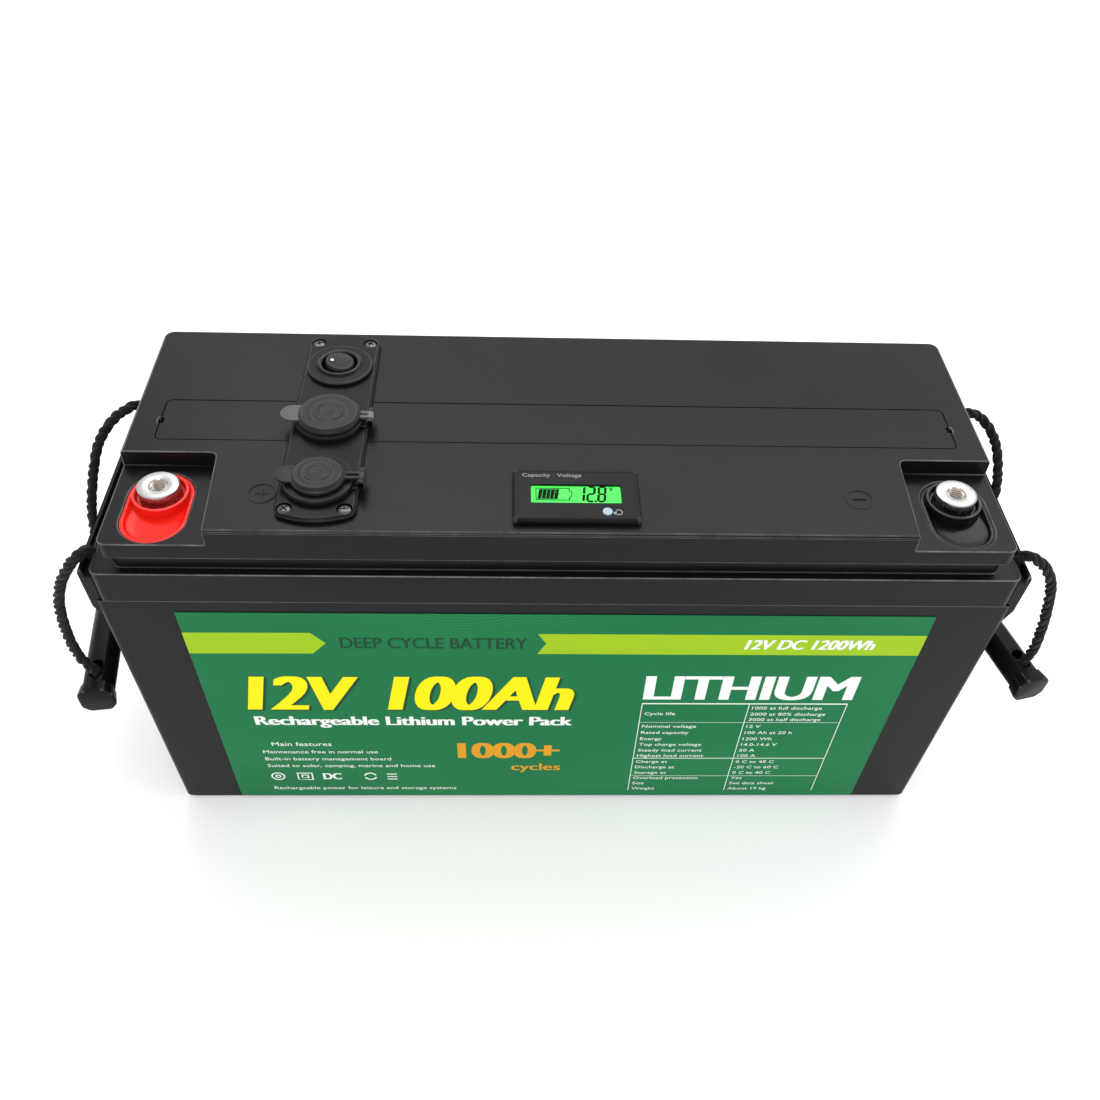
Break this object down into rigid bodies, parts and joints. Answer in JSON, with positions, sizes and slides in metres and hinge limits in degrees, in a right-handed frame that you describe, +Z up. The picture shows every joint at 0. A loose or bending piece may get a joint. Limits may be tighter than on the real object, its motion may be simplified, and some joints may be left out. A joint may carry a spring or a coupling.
{
  "type": "deep cycle battery",
  "caption": "Rectangular 12 V lithium battery in a black moulded case with rope handles, recessed terminals, a raised socket strip and a small charge display.",
  "frame": {"origin": "middle of the flat underside of the case", "axes": "+X along the case from the positive to the negative terminal, +Y to the back, +Z up through the lid"},
  "size_m": [0.5723, 0.1701, 0.2504],
  "materials": {
    "case_plastic": "satin black moulded ABS with a fine grain",
    "panel_plastic": "matte dark grey moulded plastic",
    "cap_rubber": "soft dark grey rubber",
    "rocker_plastic": "smooth black plastic",
    "red_plastic": "glossy bright red plastic",
    "black_gloss": "glossy black plastic",
    "tin_plate": "tin plated brass, turned and knurled",
    "brass": "plain turned brass",
    "screw_steel": "dull plated steel",
    "label_film": "printed green film",
    "lcd_glass": "clear window",
    "lcd_panel": "bright green lit panel",
    "circuit_board": "green glass fibre board",
    "rope_fibre": "black twisted polypropylene",
    "grip_plastic": "matte dark grey plastic",
    "cell_can": "aluminium can in a blue film",
    "copper": "bare copper bar",
    "aluminium": "plain extruded aluminium",
    "foam": "pale closed cell foam",
    "glue": "cured black sealant",
    "cable_red": "red cable sleeve",
    "cable_black": "black cable sleeve",
    "key_plastic": "pale blue grey push button"
  },
  "bodies": {
    "case": {"tub": "case_plastic", "lid": "case_plastic", "lid_seal": "glue", "strip_cover": "case_plastic", "front_label": "label_film", "positive_post": "tin_plate", "negative_post": "tin_plate", "positive_insert": "red_plastic", "negative_insert": "black_gloss", "socket_panel": "panel_plastic", "panel_screw_1": "screw_steel", "panel_screw_2": "screw_steel", "panel_screw_3": "screw_steel", "panel_screw_4": "screw_steel", "switch_housing": "panel_plastic", "switch_nut": "panel_plastic", "rocker_pin": "screw_steel", "socket_barrel": "panel_plastic", "socket_contact": "brass", "socket_nut": "panel_plastic", "socket_cap_pin": "screw_steel", "usb_housing": "panel_plastic", "usb_nut": "panel_plastic", "usb_cap_pin": "screw_steel", "display_housing": "panel_plastic", "display_window": "lcd_glass", "lcd_panel": "lcd_panel", "display_board": "circuit_board", "cell_1": "cell_can", "cell_2": "cell_can", "cell_3": "cell_can", "cell_4": "cell_can", "cell_link_front": "copper", "cell_link_back": "copper", "cell_link_end": "copper", "bms_board": "circuit_board", "bms_heat_sink": "aluminium", "positive_lead": "cable_red", "board_lead": "cable_black", "negative_lead": "cable_black", "foam_base": "foam", "foam_front": "foam", "foam_back": "foam", "left_front_knot": "rope_fibre", "left_rear_knot": "rope_fibre", "right_front_knot": "rope_fibre", "right_rear_knot": "rope_fibre"},
    "left_handle": {"left_rope": "rope_fibre", "left_grip": "grip_plastic"},
    "right_handle": {"right_rope": "rope_fibre", "right_grip": "grip_plastic"},
    "rocker": {"switch_rocker": "rocker_plastic"},
    "socket_cap": {"socket_cap": "cap_rubber"},
    "usb_cap": {"usb_cap": "cap_rubber"},
    "key": {"display_key": "key_plastic"}
  },
  "joints": [
    {"name": "left_handle_swing", "type": "hinge", "parent": "case", "child": "left_handle", "pos_m": [-0.2383, 0, 0.215], "axis": [0, 1, 0], "range_deg": [0, 130]},
    {"name": "right_handle_swing", "type": "hinge", "parent": "case", "child": "right_handle", "pos_m": [0.2383, 0, 0.215], "axis": [0, -1, 0], "range_deg": [0, 130]},
    {"name": "rocker_tilt", "type": "hinge", "parent": "case", "child": "rocker", "pos_m": [-0.1215, 0.0445, 0.245], "axis": [0, -1, 0], "range_deg": [0, 16]},
    {"name": "socket_cap_hinge", "type": "hinge", "parent": "case", "child": "socket_cap", "pos_m": [-0.1001, -0.0035, 0.247], "axis": [0, 1, 0], "range_deg": [0, 170]},
    {"name": "usb_cap_hinge", "type": "hinge", "parent": "case", "child": "usb_cap", "pos_m": [-0.1001, -0.0515, 0.247], "axis": [0, 1, 0], "range_deg": [0, 170]},
    {"name": "key_press", "type": "slide", "parent": "case", "child": "key", "axis": [0, 0, -1], "range_m": [0, 0.0007], "stiffness_N_per_m": 300, "springref_m": -0.0005}
  ]
}
